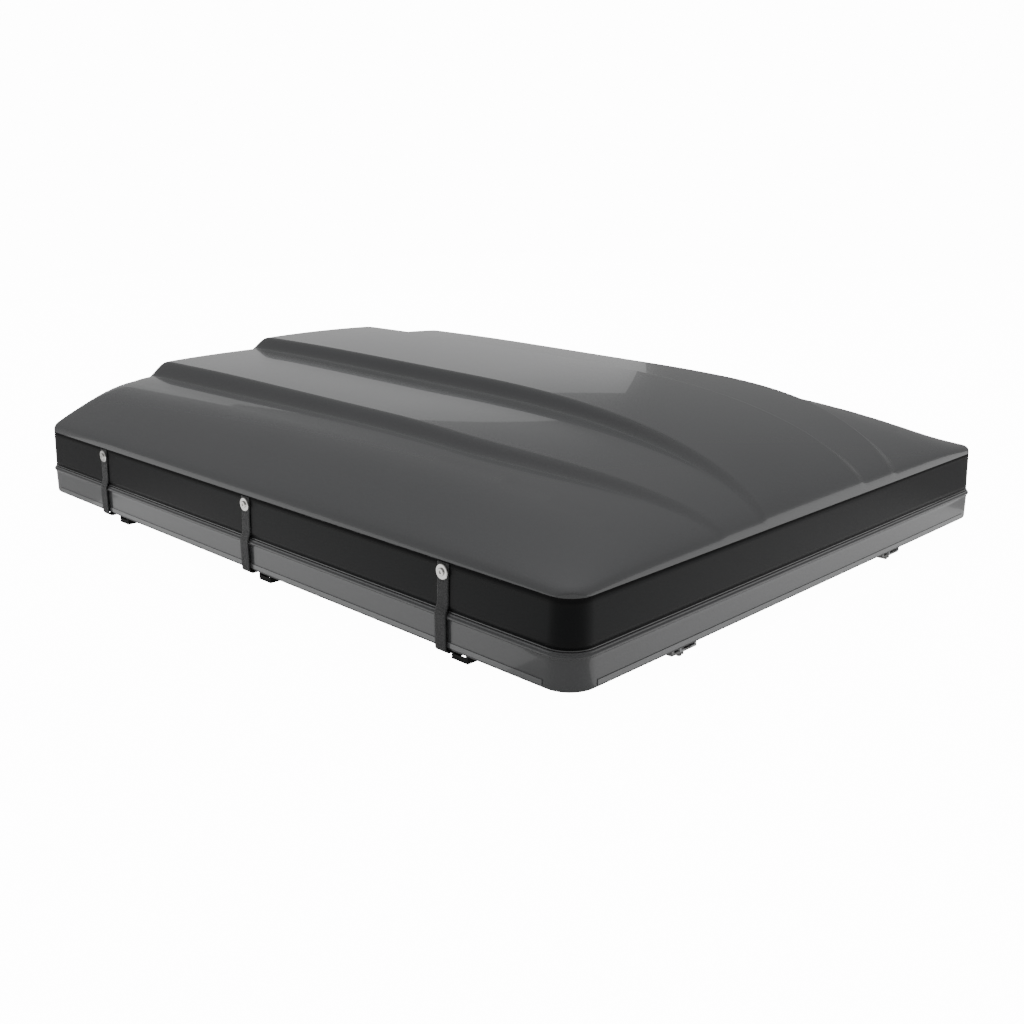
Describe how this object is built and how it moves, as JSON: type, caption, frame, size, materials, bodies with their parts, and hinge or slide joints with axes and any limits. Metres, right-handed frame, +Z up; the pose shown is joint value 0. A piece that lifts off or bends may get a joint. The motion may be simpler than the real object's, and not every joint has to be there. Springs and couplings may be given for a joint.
{
  "type": "hard-shell rooftop tent",
  "caption": "Closed hard-shell rooftop tent: ribbed sloping lid on a shallow tray, side-hinged on gas struts, held by webbing straps and cam buckles, on clamp rails.",
  "frame": {"origin": "centre of the bounding box in plan, at the lowest point of the mounting clamps", "axes": "+Z up; length along Y with the low sloping front end towards -Y; the strap side faces -X and the lid hinges are on +X"},
  "size_m": [1.276, 1.592, 0.3568],
  "materials": {
    "roof_shell": "smooth gloss, moulded",
    "band": "gloss black trim",
    "tray_shell": "gloss mid grey, moulded",
    "tray_strip": "gloss grey edging",
    "seal": "extruded seal",
    "frame_alloy": "anodised extrusion",
    "liner": "quilted headliner",
    "floor": "painted light ply panel",
    "mattress": "foam in woven cover",
    "canvas": "folded poly-cotton canvas",
    "bow_tube": "anodised tube",
    "stainless": "brushed stainless",
    "bright_hardware": "bright plated",
    "strut_black": "black coat",
    "strut_bracket": "black powder coat",
    "strut_rod": "polished rod",
    "webbing": "ribbed black webbing",
    "buckle": "matt black moulded"
  },
  "bodies": {
    "base": {"base_tray": "tray_shell", "edge_strip_strap_side": "tray_strip", "edge_strip_hinge_side": "tray_strip", "edge_strip_front": "tray_strip", "edge_strip_rear": "tray_strip", "rim_seal": "seal", "floor_panel": "floor", "mattress_lower": "mattress", "mattress_upper": "mattress", "fold_out_floor": "floor", "floor_hinge": "stainless", "canvas_bundle": "canvas", "bow_outer": "bow_tube", "bow_inner": "bow_tube", "hinge_front_base_leaf": "stainless", "hinge_middle_base_leaf": "stainless", "hinge_rear_base_leaf": "stainless", "hinge_front_pin": "stainless", "hinge_middle_pin": "stainless", "hinge_rear_pin": "stainless", "strut_front_base_bracket": "strut_bracket", "strut_rear_base_bracket": "strut_bracket", "rail_left": "frame_alloy", "rail_right": "frame_alloy", "buckle_front_frame": "buckle", "buckle_middle_frame": "buckle", "buckle_rear_frame": "buckle"},
    "lid": {"lid_shell": "roof_shell", "lid_band": "band", "lid_frame": "frame_alloy", "lid_liner": "liner", "hinge_front_lid_leaf": "stainless", "hinge_middle_lid_leaf": "stainless", "hinge_rear_lid_leaf": "stainless", "strut_front_lid_bracket": "strut_bracket", "strut_rear_lid_bracket": "strut_bracket", "strap_front_upper": "webbing", "strap_front_washer": "bright_hardware", "strap_front_screw": "bright_hardware", "strap_middle_upper": "webbing", "strap_middle_washer": "bright_hardware", "strap_middle_screw": "bright_hardware", "strap_rear_upper": "webbing", "strap_rear_washer": "bright_hardware", "strap_rear_screw": "bright_hardware"},
    "strut_front_cylinder": {"strut_front_cylinder": "strut_black"},
    "strut_front_rod": {"strut_front_rod": "strut_rod"},
    "strut_rear_cylinder": {"strut_rear_cylinder": "strut_black"},
    "strut_rear_rod": {"strut_rear_rod": "strut_rod"},
    "strap_front": {"strap_front_tail": "webbing"},
    "buckle_front_lever": {"buckle_front_lever": "buckle"},
    "strap_middle": {"strap_middle_tail": "webbing"},
    "buckle_middle_lever": {"buckle_middle_lever": "buckle"},
    "strap_rear": {"strap_rear_tail": "webbing"},
    "buckle_rear_lever": {"buckle_rear_lever": "buckle"},
    "clamp_left_front": {"clamp_left_front": "stainless"},
    "clamp_left_rear": {"clamp_left_rear": "stainless"},
    "clamp_right_front": {"clamp_right_front": "stainless"},
    "clamp_right_rear": {"clamp_right_rear": "stainless"}
  },
  "joints": [
    {"name": "lid_hinge", "type": "hinge", "parent": "base", "child": "lid", "pos_m": [0.6345, 0, 0.097], "axis": [0, 1, 0], "range_deg": [0, 60]},
    {"name": "strut_front_swing", "type": "hinge", "parent": "base", "child": "strut_front_cylinder", "pos_m": [0.5345, -0.756, 0.059], "axis": [0, 1, 0], "range_deg": [0, 64.97]},
    {"name": "strut_front_slide", "type": "slide", "parent": "strut_front_cylinder", "child": "strut_front_rod", "axis": [-0.9849, 0, 0.1733], "range_m": [0, 0.09566]},
    {"name": "strut_rear_swing", "type": "hinge", "parent": "base", "child": "strut_rear_cylinder", "pos_m": [0.5345, 0.756, 0.059], "axis": [0, 1, 0], "range_deg": [0, 64.97]},
    {"name": "strut_rear_slide", "type": "slide", "parent": "strut_rear_cylinder", "child": "strut_rear_rod", "axis": [-0.9849, 0, 0.1733], "range_m": [0, 0.09566]},
    {"name": "strap_front_hang", "type": "hinge", "parent": "lid", "child": "strap_front", "pos_m": [-0.636, -0.536, 0.0985], "axis": [0, 1, 0], "range_deg": [-60.01, 0], "deforming": ["strap_front_tail"]},
    {"name": "buckle_front_release", "type": "hinge", "parent": "base", "child": "buckle_front_lever", "pos_m": [-0.581, -0.536, 0.0225], "axis": [0, 1, 0], "range_deg": [0, 35], "stiffness_Nm_per_rad": 0.25, "springref_deg": -17.19},
    {"name": "strap_middle_hang", "type": "hinge", "parent": "lid", "child": "strap_middle", "pos_m": [-0.636, -0.013, 0.0985], "axis": [0, 1, 0], "range_deg": [-60.01, 0], "deforming": ["strap_middle_tail"]},
    {"name": "buckle_middle_release", "type": "hinge", "parent": "base", "child": "buckle_middle_lever", "pos_m": [-0.581, -0.013, 0.0225], "axis": [0, 1, 0], "range_deg": [0, 35], "stiffness_Nm_per_rad": 0.25, "springref_deg": -17.19},
    {"name": "strap_rear_hang", "type": "hinge", "parent": "lid", "child": "strap_rear", "pos_m": [-0.636, 0.518, 0.0985], "axis": [0, 1, 0], "range_deg": [-60.01, 0], "deforming": ["strap_rear_tail"]},
    {"name": "buckle_rear_release", "type": "hinge", "parent": "base", "child": "buckle_rear_lever", "pos_m": [-0.581, 0.518, 0.0225], "axis": [0, 1, 0], "range_deg": [0, 35], "stiffness_Nm_per_rad": 0.25, "springref_deg": -17.19},
    {"name": "clamp_left_front_slide", "type": "slide", "parent": "base", "child": "clamp_left_front", "axis": [0, 1, 0], "range_m": [0, 0.45]},
    {"name": "clamp_left_rear_slide", "type": "slide", "parent": "base", "child": "clamp_left_rear", "axis": [0, -1, 0], "range_m": [0, 0.45]},
    {"name": "clamp_right_front_slide", "type": "slide", "parent": "base", "child": "clamp_right_front", "axis": [0, 1, 0], "range_m": [0, 0.45]},
    {"name": "clamp_right_rear_slide", "type": "slide", "parent": "base", "child": "clamp_right_rear", "axis": [0, -1, 0], "range_m": [0, 0.45]}
  ],
  "couplings": [
    {"joint": "strut_front_swing", "follows": "lid_hinge", "ratio": 1.0827},
    {"joint": "strut_front_slide", "follows": "lid_hinge", "m_per_rad": 0.091325},
    {"joint": "strut_rear_swing", "follows": "lid_hinge", "ratio": 1.0827},
    {"joint": "strut_rear_slide", "follows": "lid_hinge", "m_per_rad": 0.091325},
    {"joint": "strap_front_hang", "follows": "lid_hinge", "ratio": -1},
    {"joint": "strap_middle_hang", "follows": "lid_hinge", "ratio": -1},
    {"joint": "strap_rear_hang", "follows": "lid_hinge", "ratio": -1}
  ]
}
